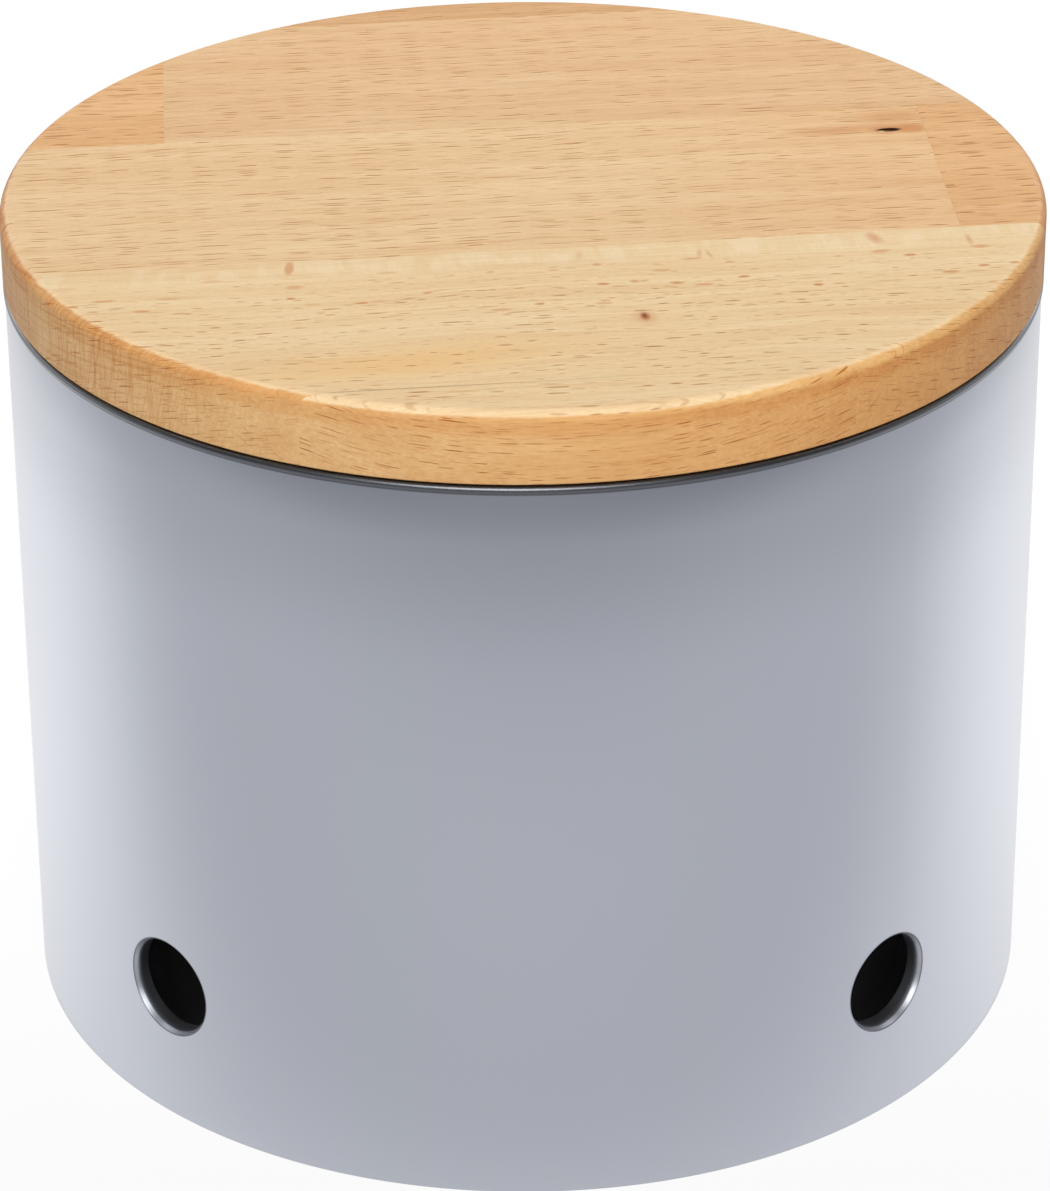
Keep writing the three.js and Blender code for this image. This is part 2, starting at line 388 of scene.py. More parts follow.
def satin_steel(look, pot, vent):
    """Stainless sheet, satin-ground and clear-lacquered: cool grey, soft blurred reflections."""
    material, tree = new_finish("satin_lacquered_stainless_sheet")
    place = node(tree, "TexCoord", out="Object")
    # rolling leaves faint upright bands, here about 14 mm wide and much longer than the wall
    stretched = node(tree, "Mapping", {0: place, "Scale": (70, 70, 3)})
    bands = node(tree, "TexNoise", {0: stretched, "Scale": 1, "Detail": 1})
    cool = node(tree, "Mix", {0: bands, 6: look.cool, 7: look.mauve}, out=2, data_type="RGBA")
    # painted shade: the curled rim under the lid is darker, and so is the sheet drawn in under the
    # rim
    high = node(tree, "SeparateXYZ", [place], out=2)
    low = pot.rim - 2 * pot.bead
    rim = node(tree, "MapRange", [high, low - 0.1 * MM, low + 0.15 * MM, 1, look.rim], **SOFT)
    drawn = (pot.rim - 27 * MM, pot.rim - 5 * MM)
    neck = node(tree, "MapRange", [high, *drawn, 1, look.neck], **SOFT)
    # the inside isn't ground, so it is duller; that it gives back less is painted shade of the
    # closed pot
    around = node(tree, "VectorMath", [place, (1, 1, 0)], operation="MULTIPLY")
    around = node(tree, "VectorMath", [around], out="Value", operation="LENGTH")
    middle = pot.radius - pot.sheet / 2
    half_through = (middle - 0.2 * MM, middle)
    inside = node(tree, "MapRange", [around, *half_through, look.inside, 1], **SOFT)
    dull = node(tree, "MapRange", [around, *half_through, look.inside_dull, 0], **SOFT)
    # how far it is to the axis of the vent in this quarter of the pot
    quarter = node(tree, "VectorMath", [place], operation="ABSOLUTE")
    faced = node(tree, "Mapping", {0: quarter, "Rotation": (0, 0, vent.turn - math.pi / 2)})
    away = node(tree, "VectorMath", [faced, (0, 0, vent.height)], operation="SUBTRACT")
    away = node(tree, "VectorMath", [away, (0, 1, 1)], operation="MULTIPLY")
    away = node(tree, "VectorMath", [away], out="Value", operation="LENGTH")
    # the drawn mouths are duller than the face and bare of lacquer; their lower tone and the
    # collars' darker one are painted shade in the vents
    off_vent = node(tree, "MapRange", [away, vent.radius, vent.radius + 0.2 * MM], **SOFT)
    bend = (vent.throat + 0.02 * MM, vent.throat + 0.1 * MM)
    collar = node(tree, "MapRange", [away, *bend, look.collar, look.mouth], **SOFT)
    inside = node(tree, "Mix", {0: off_vent, 2: collar, 3: inside}, data_type="FLOAT")
    dull = node(tree, "Mix", {0: off_vent, 2: look.vent_dull, 3: dull}, data_type="FLOAT")
    coat = node(tree, "Math", [off_vent, look.coat], operation="MULTIPLY")
    # painted shade: a thin dark line in the crease round each mouth
    off_line = node(tree, "Math", [away, vent.radius + 0.05 * MM], operation="SUBTRACT")
    off_line = node(tree, "Math", [off_line], operation="ABSOLUTE")
    line = node(tree, "MapRange", [off_line, 0.05 * MM, 0.12 * MM, 1 - look.line, 1], **SOFT)
    shade = rim
    for part in (neck, inside, line):
        shade = node(tree, "Math", [shade, part], operation="MULTIPLY")
    tone = node(tree, "Mix", {0: 1, 6: cool, 7: shade}, out=2, **TINT)
    # the satin grain is finer than a picture shows, so it is drawn at about 0.25 mm
    grain = node(tree, "TexNoise", {0: place, "Scale": 4000, "Detail": 2})
    rough = node(tree, "MapRange", [grain, 0, 1, look.roughness - 0.03, look.roughness + 0.03])
    looks = {
        "Base Color": tone,
        "Metallic": 1,
        "Roughness": node(tree, "Math", [rough, dull], operation="ADD"),
        "Normal": node(tree, "Bump", {"Height": grain, "Strength": 0.05, "Distance": 0.02 * MM}),
        "Coat Weight": coat,
        "Coat Roughness": look.roughness,
    }
    node(tree, "OutputMaterial", [node(tree, "BsdfPrincipled", looks)], out=None)
    return material


def wood_figure(tree, grain, shift, cell, detail, lean=0):
    """Soft figure of the wood, in cells of millimetres that lean about the grain by degrees."""
    tilt = (math.radians(lean), 0, 0)
    placed = {0: grain, "Location": shift, "Rotation": tilt, "Scale": cell}
    cells = node(tree, "Mapping", placed, vector_type="TEXTURE")
    return node(tree, "TexNoise", {0: cells, "Scale": 1, "Detail": detail})


def ray_flecks(tree, grain, shift, length, thick, deep, cell, lean):
    """Ray flecks of beech: thin blades along the grain, one to a cell, darker or fainter by chance.

    Lengths are in millimetres; gives back the dark blade and, as a painted highlight, the pale line
    beside it.
    """
    # the blades lean, so they show as dashes on the top and slant down the rounded side
    tilt = (math.radians(lean), 0, 0)
    placed = {0: grain, "Location": shift, "Rotation": tilt, "Scale": cell}
    cells = node(tree, "Mapping", placed, vector_type="TEXTURE")
    scatter = node(tree, "TexVoronoi", {"Vector": cells, "Scale": 1, "Randomness": 0.8}, out=None)
    chance = node(tree, "SeparateColor", [scatter.outputs["Color"]], out=None).outputs
    centre = scatter.outputs["Position"]
    away = node(tree, "VectorMath", [cells, centre], operation="SUBTRACT")
    # by chance, too, the shortest blades are under half as long as the longest
    least = cell[0] / length
    shorten = node(tree, "MapRange", [chance[1], 0, 1, 1.5 * least, 4 * least])
    size = node(tree, "CombineXYZ", [shorten, 2 * cell[1] / thick, 2 * cell[2] / deep])
    dark = node(tree, "Math", [chance[0], 1.2], operation="POWER")
    masks = []
    # the second mask, beside the blade, is a painted highlight
    for beside in (0, 2.2):
        near = node(tree, "VectorMath", [away, size, (0, beside, 0)], operation="MULTIPLY_ADD")
        near = node(tree, "VectorMath", [near], out="Value", operation="LENGTH")
        inside = node(tree, "MapRange", [near, 0.55, 1.25, 1, 0], **SOFT)
        masks.append(node(tree, "Math", [inside, dark], operation="MULTIPLY"))
    return masks


def patch(tree, grain, top, spot):
    """Soft-edged oval on the top; spot holds its middle, half sizes, turn and core."""
    along, across, half_along, half_across, tilt, core = spot
    placed = {
        0: grain,
        "Location": (along, across, top),
        "Rotation": (0, 0, math.radians(tilt)),
        "Scale": (half_along, half_across, 4),
    }
    away = node(tree, "Mapping", placed, vector_type="TEXTURE")
    away = node(tree, "VectorMath", [away], out="Value", operation="LENGTH")
    return node(tree, "MapRange", [away, core, 1.15, 1, 0], **SOFT)


def sunk_oil_and_shade(tree, look, grain, along, high, rounded, start):
    """Where oil has sunk in, and its tint with a band of painted shade: on the side and on most of
    the rounded edge.

    rounded holds the heights where the rounded edge begins and ends.
    """
    start = node(tree, "MapRange", [along, *start])
    up = node(tree, "MapRange", [high, *rounded])
    ragged = node(tree, "TexNoise", {0: grain, "Scale": 0.6, "Detail": 3})
    ragged = node(tree, "Math", [ragged, 0.2, up], operation="MULTIPLY_ADD")
    ragged = node(tree, "Math", [ragged, start], operation="SUBTRACT")
    side = node(tree, "MapRange", [ragged, 0.2, 0], **SOFT)
    # it is more golden on the right
    tints = []
    for left, right, ends in (
        (look.oil, look.amber_oil, (-50, 45)),
        (look.edge_oil, look.golden_oil, (-40, 20)),
    ):
        drift = node(tree, "MapRange", [along, *ends], **SOFT)
        tints.append(node(tree, "Mix", {0: drift, 6: left, 7: right}, out=2, data_type="RGBA"))
    upper = node(tree, "MapRange", [up, 0, 0.4], **SOFT)
    oil = node(tree, "Mix", {0: upper, 6: tints[0], 7: tints[1]}, out=2, data_type="RGBA")
    # a slightly darker band where the rounded edge begins is painted shade
    foot = rounded[0]
    below = node(tree, "MapRange", [high, foot - 2, foot - 0.8], **SOFT)
    above = node(tree, "MapRange", [high, foot + 0.7, foot], **SOFT)
    band = node(tree, "Math", [below, above], operation="MULTIPLY")
    return side, node(tree, "Mix", {0: band, 6: oil, 7: look.band}, out=2, **TINT)


def oiled_beech(name, look, sizes, wood):
    """Steamed beech, planed, sanded and oiled: fine brown ray flecks and soft bands on tan."""
    material, tree = new_finish(name)
    place = node(tree, "TexCoord", out="Object")
    # millimetres along the grain, across it and up
    lengthwise = {0: place, "Rotation": (0, 0, -sizes.turn), "Scale": (1 / MM, 1 / MM, 1 / MM)}
    flat = node(tree, "Mapping", lengthwise)
    along, across, high = node(tree, "SeparateXYZ", [flat], out=None).outputs
    top = (sizes.underside + sizes.thickness) / MM
    rounded = (top - sizes.top_round / MM, top)
    seed = wood["seed"]
    shift = (37 * seed, 11 * seed, 5 * seed)
    # the grain wanders by a millimetre or so
    sway = wood_figure(tree, flat, shift, (32, 17, 30), 2)
    sway = node(tree, "MapRange", [sway, 0, 1, -wood["sway"], wood["sway"]])
    sway = node(tree, "CombineXYZ", {1: sway})
    grain = node(tree, "VectorMath", [flat, sway], operation="ADD")

    # tone, drifting from one end of the stave to the other, with streaks and a little mottling
    drift = node(tree, "MapRange", [along, *wood["drift"]], **SOFT)
    first, last = (getattr(look, tone) for tone in wood["tones"])
    tone = node(tree, "Mix", {0: drift, 6: first, 7: last}, out=2, data_type="RGBA")
    for cell, detail, tint, amount in STREAKS:
        streak = wood_figure(tree, grain, shift, cell, detail)
        streak = node(tree, "MapRange", [streak, 0.35, 0.75, 0, amount])
        tone = node(tree, "Mix", {0: streak, 6: tone, 7: linear(tint)}, out=2, **TINT)
    # silky patches: the rays' figure with a painted sheen, on a strip across the grain
    for cell, tint, amount in SILK if "silk" in wood else ():
        silk = wood_figure(tree, grain, shift, cell, 1)
        silk = node(tree, "MapRange", [silk, 0.45, 0.62, 0, amount], **SOFT)
        strip = node(tree, "MapRange", [across, *wood["silk"]], **SOFT)
        silk = node(tree, "Math", [silk, strip], operation="MULTIPLY")
        tone = node(tree, "Mix", {0: silk, 6: tone, 7: linear(tint)}, out=2, data_type="RGBA")
    # stains, bands and knots at their places; the middle of a knot has no gloss
    gloss = 0.5
    for spot, kind, amount in wood["spots"]:
        inside = patch(tree, grain, top, spot)
        inside = node(tree, "Math", [inside, amount], operation="MULTIPLY")
        if kind == "knot":
            gloss = node(tree, "MapRange", [inside, 0, 1, 0.5, 0], **SOFT)
        marked = {0: inside, 6: tone, 7: getattr(look, kind)}
        tone = node(tree, "Mix", marked, out=2, data_type="RGBA")
    # ray flecks, each with a painted highlight as a pale line beside it, all over or on a strip
    # across the grain
    grooves = 0
    for *blades, amount, lean, strip, kind in wood["flecks"]:
        dark, pale = ray_flecks(tree, grain, shift, *blades, lean)
        if strip:
            begins = node(tree, "MapRange", [across, *strip[:2], 0, amount], **SOFT)
            ends = node(tree, "MapRange", [across, *strip[2:], 1, 0], **SOFT)
            amount = node(tree, "Math", [begins, ends], operation="MULTIPLY")
        dark = node(tree, "Math", [dark, amount], operation="MULTIPLY")
        pale = node(tree, "Math", [pale, amount], operation="MULTIPLY")
        pale = node(tree, "Math", [pale, 0.18], operation="MULTIPLY")
        for mask, drawn in ((pale, look.fleck_highlight), (dark, getattr(look, kind))):
            tone = node(tree, "Mix", {0: mask, 6: tone, 7: drawn}, out=2, data_type="RGBA")
        grooves = node(tree, "Math", [grooves, dark], operation="ADD")
    side, oil = sunk_oil_and_shade(tree, look, grain, along, high, rounded, wood.get("oil", OIL_START))
    tone = node(tree, "Mix", {0: side, 6: tone, 7: oil}, out=2, **TINT)
    # on the end grain the rays show as fine upright lines about a millimetre apart, and the
    # growth rings cross them, almost level; both are fainter towards the right
    around = node(tree, "VectorMath", [flat, (1, 1, 0)], operation="MULTIPLY")
    around = node(tree, "VectorMath", [around], operation="NORMALIZE")
    end = node(tree, "Math", [node(tree, "SeparateXYZ", [around])], operation="ABSOLUTE")
    end = node(tree, "MapRange", [end, 0.5, 0.85])
    for part in (side, node(tree, "MapRange", [along, -20, 30, 1, 0.35], **SOFT)):
        end = node(tree, "Math", [end, part], operation="MULTIPLY")
    for cell, lean in END_LINES:
        lines = wood_figure(tree, flat, shift, cell, 0, lean)
        lines = node(tree, "MapRange", [lines, 0.54, 0.68])
        lines = node(tree, "Math", [lines, end], operation="MULTIPLY")
        tone = node(tree, "Mix", {0: lines, 6: tone, 7: look.end}, out=2, **TINT)

    # the sanded face: matt along the flecks, a soft sheen between them, and fibres 3 mm long,
    # which are drawn at 0.2 mm across because real ones are too fine to show
    fibre = wood_figure(tree, grain, ORIGIN, (3, 0.18, 0.25), 2)
    rough = node(tree, "MapRange", [fibre, 0, 1, look.roughness - 0.06, look.roughness + 0.1])
    height = node(tree, "Math", [grooves, -1, fibre], operation="MULTIPLY_ADD")
    looks = {
        "Base Color": tone,
        "Roughness": node(tree, "Math", [grooves, 0.2, rough], operation="MULTIPLY_ADD"),
        "Normal": node(tree, "Bump", {"Height": height, "Strength": 0.22, "Distance": 0.03 * MM}),
        "IOR": 1.47,
        "Specular IOR Level": gloss,
    }
    node(tree, "OutputMaterial", [node(tree, "BsdfPrincipled", looks)], out=None)
    return material


def silicone(tone):
    """Moulded silicone rubber: milky, matt and slightly see-through at thin edges."""
    material, tree = new_finish("moulded_silicone_rubber")
    place = node(tree, "TexCoord", out="Object")
    # the mould's own texture is too fine to show, so it is drawn at about 0.7 mm
    speck = node(tree, "TexNoise", {0: place, "Scale": 1500, "Detail": 2})
    looks = {
        "Base Color": tone,
        "Roughness": node(tree, "MapRange", [speck, 0, 1, 0.42, 0.56]),
        "IOR": 1.41,
        "Subsurface Weight": 0.4,
        "Subsurface Radius": (1, 1, 1),
        "Subsurface Scale": 0.8 * MM,
        "Normal": node(tree, "Bump", {"Height": speck, "Strength": 0.1, "Distance": 0.05 * MM}),
    }
    node(tree, "OutputMaterial", [node(tree, "BsdfPrincipled", looks)], out=None)
    return material


# ---------------------------------------------------------------------------------------------
# Pieces

# Cells of the quarter sheet: all along it, before and after the vent's middle, the rows to either
# side of that middle, and how far the block that the vent takes out goes from it
QUARTER_CELLS = 96
BEFORE_VENT, AFTER_VENT = 47, 49
ROWS_BY_VENT = 13
VENT_BLOCK = 9
# Steps of the neck, the curl and the rise to them
NECK_STEPS, CURL_STEPS, RISE_STEPS = 8, 14, 10
# Rings are drawn round a vent at these multiples of its radius, and in it at these shares of the
# depth of its mouth and of its collar
FLAT_RINGS = (1.27, 1.12)
MOUTH_SHARES = (0, 0.2, 0.8, 1)
COLLAR_SHARES = (0.6, 0.93, 1)
# Edges sharper than this are shaded sharp, in degrees, on steel and silicone and on wood
SHARP, SHARP_WOOD = 40, 30


class KEEPER_OT_wall(bpy.types.Operator):
    """Wall of the pot: a flat sheet, pierced, its rim curled, rolled round and its vents flanged"""

    bl_idname = "keeper.wall"
    bl_label = "Wall"

    def execute(self, context):
        pot, vent = context.scene.pot_sizes, context.scene.vent_sizes
        half = pot.sheet / 2
        middle = pot.radius - half
        quarter_turn = math.pi / 2
        quarter = middle * quarter_turn
        cell = quarter / QUARTER_CELLS
        tall = 2 * ROWS_BY_VENT * cell
        centre = Vector((0, 0, vent.height))
        # a quarter of the sheet, standing flat, with the vent's centre at nought
        only(None)
        bpy.ops.mesh.primitive_grid_add(
            x_subdivisions=QUARTER_CELLS,
            y_subdivisions=2 * ROWS_BY_VENT,
            size=1,
            location=centre,
            rotation=(quarter_turn, 0, 0),
        )
        wall = begin("wall")
        bpy.ops.transform.resize(value=(quarter, 1, tall), center_override=centre)
        bpy.ops.transform.translate(value=(cell, 0, 0))
        for side, angle, cells in (
            (-1, vent.turn, BEFORE_VENT),
            (1, quarter_turn - vent.turn, AFTER_VENT),
        ):
            pick(wall, "VERT", lambda vert, co: co.x * side > cell / 2)
            growth = angle / quarter_turn * QUARTER_CELLS / cells
            bpy.ops.transform.resize(value=(growth, 1, 1), center_override=ORIGIN)
        # the sheet drawn down to the foot and up to the rim, where it necks in and curls outwards
        top, foot = vent.height + tall / 2, vent.height - tall / 2
        bead_middle = pot.bead - half
        bead_out = pot.stand_out - bead_middle
        bead_high = pot.rim - pot.bead
        neck_out = bead_out - bead_middle
        neck_low = bead_high - pot.neck
        rises = [(0, top + (neck_low - top) * i / RISE_STEPS) for i in range(RISE_STEPS + 1)]
        for i in range(1, NECK_STEPS + 1):
            drawn = i / NECK_STEPS
            out = neck_out * (1 - math.cos(math.pi * drawn)) / 2
            rises.append((out, neck_low + pot.neck * drawn))
        curl_end = math.degrees(pot.curl_end)
        rises += bow(bead_out, bead_high, bead_middle, 180, curl_end, CURL_STEPS)[1:]
        for line in (rises, [(0, foot), (0, pot.bend), (0, 0)]):
            start = line[0][1]
            pick(wall, "EDGE", lambda edge, co: edge.is_boundary and abs(co.z - start) < SAME)
            for (out, high), (next_out, next_high) in zip(line, line[1:]):
                draw_out(0, out - next_out, next_high - high)

        # the vent pierced, and its edge turned inwards to a tapering mouth; the sheet's middle
        # runs half a sheet behind the faces that show, and a ring just before the bend keeps the
        # sheet round it flat
        def off_centre(co):
            return max(abs(co.x), abs(co.z - vent.height)) / cell

        pick(wall, "FACE", lambda face, co: off_centre(co) < VENT_BLOCK - 0.4)
        bpy.ops.mesh.delete(type="FACE")
        pick(wall, "EDGE", lambda edge, co: edge.is_boundary and off_centre(co) < VENT_BLOCK + 1)
        draw_out(0, 0, 0)
        bpy.ops.transform.tosphere(value=1, center_override=centre)
        mesh = bmesh.from_edit_mesh(wall.data)
        ring = [(v.co - centre).length for v in mesh.verts if v.select]
        now = sum(ring) / len(ring)
        steep = math.atan2(vent.mouth, vent.radius - vent.throat)
        bend = vent.radius + half * math.tan(steep / 2)
        throat = vent.throat + half
        mouth = (bend - throat) * math.tan(steep)
        rings = [(part * vent.radius, 0) for part in FLAT_RINGS] + [(bend + 0.12 * MM, 0)]
        rings += [(bend + (throat - bend) * i, mouth * i) for i in MOUTH_SHARES]
        depth = None
        for radius, deep in rings:
            if depth is not None:
                draw_out(0, deep - depth, 0)
            bpy.ops.transform.resize(value=(radius / now, 1, radius / now), center_override=centre)
            now, depth = radius, deep
        # the sheet rolled round
        apply_modifier(
            wall, "SIMPLE_DEFORM", deform_method="BEND", deform_axis="Z", angle=quarter_turn
        )
        bpy.ops.object.mode_set(mode="EDIT")
        bpy.ops.mesh.select_all(action="SELECT")
        bpy.ops.transform.translate(value=(0, -middle, 0))
        # the collar drawn in along the vent's own axis, down to a flat end
        pick(
            wall,
            "EDGE",
            lambda edge, co: edge.is_boundary and (co.xz - Vector((0, vent.height))).length < bend,
        )
        for deep in COLLAR_SHARES:
            draw_out(0, 0, 0)
            face = -pot.radius + vent.depth * deep
            bpy.ops.transform.translate(value=(0, 1, 0))
            bpy.ops.transform.resize(value=(1, 0, 1), center_override=(0, face, 0))
        only(wall)
        # turned to its place, mirrored round, and given its thickness
        wall.rotation_euler.z = vent.turn
        bpy.ops.object.transform_apply(location=True, rotation=True, scale=True)
        apply_modifier(
            wall,
            "MIRROR",
            use_axis=(True, True, False),
            use_mirror_merge=True,
            merge_threshold=10 * SAME,
        )
        bpy.ops.object.mode_set(mode="EDIT")
        bpy.ops.mesh.select_all(action="SELECT")
        bpy.ops.mesh.remove_doubles(threshold=2 * SAME)
        bpy.ops.mesh.normals_make_consistent(inside=False)
        mesh = bmesh.from_edit_mesh(wall.data)
        halfway = pot.rim / 2
        plain = next(f for f in mesh.faces if abs(f.calc_center_median().z - halfway) < 5 * MM)
        if plain.normal.dot(plain.calc_center_median()) < 0:
            bpy.ops.mesh.flip_normals()
        apply_modifier(
            wall,
            "SOLIDIFY",
            thickness=pot.sheet,
            offset=0,
            use_even_offset=True,
            use_quality_normals=True,
        )
        apply_modifier(
            wall,
            "BEVEL",
            width=vent.edge,
            segments=2,
            limit_method="ANGLE",
            angle_limit=math.radians(60),
        )
        steel = satin_steel(context.scene.steel_look, pot, vent)
        hand_over(wall, SHARP, "pot", "pot_wall", steel)
        return {"FINISHED"}


class KEEPER_OT_base(bpy.types.Operator):
    """Base of the pot: a pressed pan with a raised middle and a turned-up skirt"""

    bl_idname = "keeper.base"
    bl_label = "Base"

    def execute(self, context):
        pot = context.scene.pot_sizes
        sheet = pot.base
        outside = pot.radius - pot.sheet - pot.base_room
        bend = outside - pot.bend
        foot = pot.panel + pot.slope
        ease = 0.1 * MM
        under = [(pot.panel, pot.rise), (pot.panel + 0.25 * pot.slope, 0.86 * pot.rise)]
        under += [(foot - 0.25 * pot.slope, 0.14 * pot.rise), (foot, 0), (foot + MM, 0)]
        rings = under + bow(bend, pot.bend, pot.bend, -90, 0, 6)
        rings += [(outside, pot.skirt - ease), (outside - ease, pot.skirt)]
        rings += [(outside - sheet + ease, pot.skirt), (outside - sheet, pot.skirt - ease)]
        rings += bow(bend, pot.bend, pot.bend - sheet, 0, -90, 6)
        rings += [(radius, height + sheet) for radius, height in reversed(under)]
        base = spin_up("base", rings, 256, True)
        steel = bpy.data.materials["satin_lacquered_stainless_sheet"]
        hand_over(base, SHARP, "pot", "pot_base", steel)
        return {"FINISHED"}


# The glue lines across the lid and the butt joints along it, in millimetres from its middle
FIRST_LINE, SECOND_LINE, THIRD_LINE, LAST_LINE = -56.53, -19.3, 20.02, 58.29
MIDDLE_BUTT, REAR_BUTT = 52.68, -42.77

# Each stave: its name, slot, the glue lines before and behind it, and its left and right butt
STAVES = [
    ("stave_front_edge", "pale_beech", None, FIRST_LINE, None, None),
    ("stave_front", "pale_beech", FIRST_LINE, SECOND_LINE, None, None),
    ("stave_middle_long", "pink_beech", SECOND_LINE, THIRD_LINE, None, MIDDLE_BUTT),
    ("stave_middle_short", "amber_beech", SECOND_LINE, THIRD_LINE, MIDDLE_BUTT, None),
    ("stave_rear_long", "pink_beech", THIRD_LINE, LAST_LINE, REAR_BUTT, None),
    ("stave_rear_short", "amber_beech", THIRD_LINE, LAST_LINE, None, REAR_BUTT),
    ("stave_back_edge", "pink_beech", LAST_LINE, None, None, None),
]

# Fleck layers: length, thickness and depth in mm, cell along, across and down in mm, darkness,
# lean in degrees, the strip across the grain that has them or None for all of it, and their tone
FINE = [
    (4.6, 0.16, 4.5, (5.2, 0.56, 3.4), 1.0, -50, None, "fleck"),
    (3.0, 0.1, 3, (3.4, 0.5, 3), 0.5, -50, None, "fleck"),
]
COARSE = [
    (4.4, 0.27, 5, (4.8, 0.78, 3.6), 1.0, -45, None, "fleck"),
    (3.0, 0.13, 3, (3.4, 0.6, 3), 0.6, -45, None, "fleck"),
]
EDGE = [
    (3.4, 0.15, 3, (3.3, 0.66, 3), 1.0, -70, None, "fleck"),
    (2.2, 0.1, 3, (2.4, 0.5, 3), 0.5, -60, None, "fleck"),
]
FRONT = [
    (2.6, 0.3, 8, (4.2, 1.7, 8), 0.9, 67, (-41, -34, -26, -22), "stain"),
    (2.6, 0.13, 4, (2.8, 0.75, 4), 0.9, 67, (-70, -50, -34, -25), "fleck"),
    (2.2, 0.12, 3, (3.6, 1.2, 3), 0.5, -40, (-70, -66, -26, -22), "fleck"),
    (2.0, 0.09, 16, (2.4, 1.0, 13), 0.8, 66, (-70, -66, -26, -22), "fleck"),
]

# Wood of each stave: start of its chance, sway of its grain in mm, its tones and where along it
# one turns into the other, its flecks, and its marks: middle, half sizes, turn and core, then kind
# and strength. Two have more: across the grain, where silky patches come in, and their own start
# of the oil on the rounded edge
WOOD = {
    "stave_front_edge": dict(
        seed=1.3,
        sway=1.2,
        tones=("pale", "pale"),
        drift=(-30, 30),
        # short of 14 mm along, the oil stops lower on the rounded edge, so its upper part stays
        # pale there: a painted highlight
        oil=(14, 24, 0.55, 0.85),
        flecks=EDGE,
        spots=[],
    ),
    "stave_front": dict(
        seed=2.7,
        sway=1.6,
        tones=("pale", "pale"),
        drift=(-40, 40),
        silk=(-25.5, -22.5),
        flecks=FRONT,
        spots=[
            ((-19, -49.5, 26, 5.5, 6, 0), "honey", 0.75),
            ((-30.8, -21.2, 0.65, 2.3, -8, 0.5), "stain", 0.6),
            ((-30.6, -26.6, 1.5, 0.7, 4, 0.2), "stain", 0.5),
            ((17.6, -24.4, 1.6, 0.5, 4, 0.2), "stain", 0.5),
            ((40.7, -25, 1.6, 0.6, 4, 0.2), "stain", 0.55),
            ((53, -25.1, 1.5, 0.6, 0, 0.2), "stain", 0.5),
            ((4.2, -22.1, 0.71, 2.17, -6, 0), "stain", 0.3),
            ((18.8, -22.9, 0.5, 2.08, -9, 0), "stain", 0.42),
            ((20.0, -23.2, 0.4, 1.78, 7, 0), "stain", 0.45),
            ((40.6, -21.2, 1.1, 2.4, 14, 0.2), "stain", 0.55),
            ((52.0, -23.1, 0.5, 1.98, 0, 0), "stain", 0.5),
            ((9.8, -40.3, 1.8, 2.4, 0, 0), "stain", 0.55),
            ((9.8, -40.1, 0.7, 1.4, 0, 0.2), "heart", 0.85),
            ((9.75, -40.0, 0.3, 0.7, 0, 0.1), "knot", 0.5),
            ((-17.4, -31.9, 1.31, 0.3, 5, 0), "fleck", 0.6),
            ((-52.0, -30.5, 1.42, 0.4, 4, 0), "fleck", 0.5),
            ((11.1, -30.3, 0.91, 0.35, 20, 0), "fleck", 0.5),
        ],
    ),
    "stave_middle_long": dict(
        seed=3.9,
        sway=1.4,
        tones=("pink", "tan"),
        drift=(5, 60),
        flecks=FINE,
        spots=[
            ((-28, -16, 30, 2.2, 2, 0), "pale", 0.4),
            ((10, -7.5, 34, 1.5, 4, 0), "pale", 0.3),
            ((26.7, -6.4, 30.2, 1.97, 4, 0), "stain", 0.12),
            ((30.8, -11.4, 24.2, 1.18, 5, 0), "stain", 0.08),
            ((49.5, 16, 6.5, 3.4, 6, 0.1), "stain", 0.42),
            ((42, 12.6, 9, 2.2, 4, 0), "stain", 0.55),
            ((51.6, 12.4, 2.8, 2, -4, 0.3), "stain", 0.75),
            ((48.4, 12.2, 3, 1.8, 4, 0.3), "stain", 0.6),
            ((48.6, 12.15, 1.8, 0.66, 3, 0.6), "knot", 1.0),
            ((47.6, 11.7, 0.5, 0.22, 0, 0.2), "pale", 0.75),
        ],
    ),
    "stave_middle_short": dict(
        seed=5.1, sway=1.8, tones=("amber", "amber"), drift=(50, 65), flecks=COARSE, spots=[]
    ),
    "stave_rear_long": dict(
        seed=6.4, sway=1.2, tones=("rear", "rear"), drift=(-40, 50), flecks=FINE, spots=[]
    ),
    "stave_rear_short": dict(
        seed=7.7, sway=1.4, tones=("amber", "amber"), drift=(-60, -40), flecks=COARSE, spots=[]
    ),
    "stave_back_edge": dict(
        seed=8.2, sway=1.2, tones=("back", "back"), drift=(-40, 40), flecks=FINE, spots=[]
    ),
}


